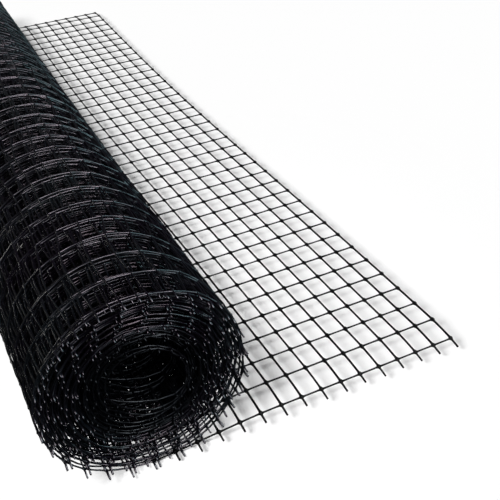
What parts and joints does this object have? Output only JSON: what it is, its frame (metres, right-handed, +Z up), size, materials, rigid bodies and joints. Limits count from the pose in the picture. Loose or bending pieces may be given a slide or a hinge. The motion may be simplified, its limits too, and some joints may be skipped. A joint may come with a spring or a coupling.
{
  "type": "roll of mole netting",
  "caption": "Roll of black plastic square-mesh ground netting, wound without a core, with its loose end laid out flat beside it.",
  "frame": {"origin": "middle of the underside's bounding rectangle, on the surface that the roll rests on", "axes": "+Z up, +Y along the roll from its near end to its far end, +X from the roll towards the free edge of its loose end"},
  "size_m": [0.327, 1.0082, 0.1446],
  "materials": {
    "black_net": "satin"
  },
  "bodies": {
    "root": {"netting_roll": "black_net", "loose_end": "black_net"}
  },
  "joints": []
}
